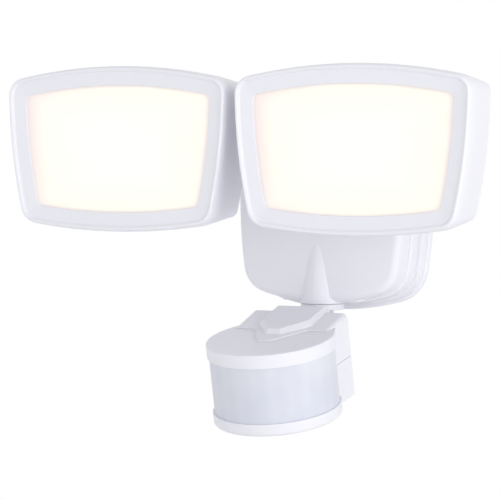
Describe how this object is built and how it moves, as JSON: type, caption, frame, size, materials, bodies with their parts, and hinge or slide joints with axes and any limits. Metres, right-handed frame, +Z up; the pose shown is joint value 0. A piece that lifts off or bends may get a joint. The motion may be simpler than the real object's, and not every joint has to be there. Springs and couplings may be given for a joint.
{
  "type": "motion sensor security light",
  "caption": "Wall-mounted outdoor security light: bowed rectangular lamp heads that pan and tilt on arms, and a round motion sensor on a swivel under a stepped canopy.",
  "frame": {"origin": "centre of the canopy's back, on the wall plane", "axes": "+Z up, +X to the right seen from the front, +Y into the wall, so the light faces -Y"},
  "size_m": [0.3038, 0.1548, 0.2193],
  "materials": {
    "white_plastic": "satin",
    "foam": "closed-cell foam",
    "rubber": "matt",
    "zinc_steel": "zinc plated",
    "circuit_board": "solder mask",
    "led_board": "white solder mask",
    "driver_parts": "moulded",
    "led_chips": "phosphor",
    "lamp_lens": "frosted polycarbonate",
    "sensor_lens": "translucent polyethylene",
    "reflector": "white reflector",
    "heat_sink": "as cast",
    "dial_plastic": "matt"
  },
  "bodies": {
    "base": {"wall_gasket": "foam", "mounting_strap": "zinc_steel", "centre_bolt": "zinc_steel", "bolt_plug": "rubber", "canopy_base": "white_plastic", "canopy_cover": "white_plastic", "cover_screws": "zinc_steel", "lead_grommet": "rubber", "driver_board": "circuit_board", "driver_parts": "driver_parts", "driver_screws": "zinc_steel", "arm_nuts": "zinc_steel", "arm_left": "white_plastic", "arm_right": "white_plastic"},
    "left_fork": {"head_fork_left": "white_plastic", "pan_bolt_left": "zinc_steel", "pan_nut_left": "zinc_steel"},
    "left_head": {"rear_housing_left": "white_plastic", "bezel_left": "white_plastic", "lens_left": "lamp_lens", "lens_gasket_left": "rubber", "reflector_left": "reflector", "led_board_left": "led_board", "led_chips_left": "led_chips", "heat_sink_left": "heat_sink", "board_screws_left": "zinc_steel", "tilt_pin_left": "zinc_steel", "tilt_nut_left": "zinc_steel"},
    "right_fork": {"head_fork_right": "white_plastic", "pan_bolt_right": "zinc_steel", "pan_nut_right": "zinc_steel"},
    "right_head": {"rear_housing_right": "white_plastic", "bezel_right": "white_plastic", "lens_right": "lamp_lens", "lens_gasket_right": "rubber", "reflector_right": "reflector", "led_board_right": "led_board", "led_chips_right": "led_chips", "heat_sink_right": "heat_sink", "board_screws_right": "zinc_steel", "tilt_pin_right": "zinc_steel", "tilt_nut_right": "zinc_steel"},
    "sensor_swivel": {"swivel_collar": "white_plastic", "swivel_washer": "zinc_steel", "swivel_nut": "zinc_steel"},
    "sensor_head": {"sensor_top_cap": "white_plastic", "sensor_lens": "sensor_lens", "sensor_bottom_cap": "white_plastic", "sensor_rear_housing": "white_plastic", "sensor_board": "circuit_board", "heat_detector": "zinc_steel", "sensor_tilt_pin": "zinc_steel", "sensor_tilt_nut": "zinc_steel"},
    "time_dial_body": {"time_dial": "dial_plastic"},
    "range_dial_body": {"range_dial": "dial_plastic"}
  },
  "joints": [
    {"name": "left_pan", "type": "hinge", "parent": "base", "child": "left_fork", "pos_m": [-0.0772, -0.0685, 0.03], "axis": [0, 0, -1], "range_deg": [0, 60]},
    {"name": "left_tilt", "type": "hinge", "parent": "left_fork", "child": "left_head", "pos_m": [-0.0772, -0.0905, 0.03], "axis": [1, 0, 0], "range_deg": [-30, 60]},
    {"name": "right_pan", "type": "hinge", "parent": "base", "child": "right_fork", "pos_m": [0.0772, -0.0685, 0.03], "axis": [0, 0, 1], "range_deg": [0, 60]},
    {"name": "right_tilt", "type": "hinge", "parent": "right_fork", "child": "right_head", "pos_m": [0.0772, -0.0905, 0.03], "axis": [1, 0, 0], "range_deg": [-30, 60]},
    {"name": "sensor_pan", "type": "hinge", "parent": "base", "child": "sensor_swivel", "pos_m": [0, -0.031, -0.067], "axis": [0, 0, 1], "range_deg": [-35, 35]},
    {"name": "sensor_tilt", "type": "hinge", "parent": "sensor_swivel", "child": "sensor_head", "pos_m": [0, -0.031, -0.079], "axis": [1, 0, 0], "range_deg": [-11.24, 25]},
    {"name": "time_setting", "type": "hinge", "parent": "sensor_head", "child": "time_dial_body", "pos_m": [-0.013, -0.07842, -0.12844], "axis": [0, -0.2164, 0.9763], "range_deg": [-135, 135]},
    {"name": "range_setting", "type": "hinge", "parent": "sensor_head", "child": "range_dial_body", "pos_m": [0.013, -0.07842, -0.12844], "axis": [0, -0.2164, 0.9763], "range_deg": [-135, 135]}
  ]
}
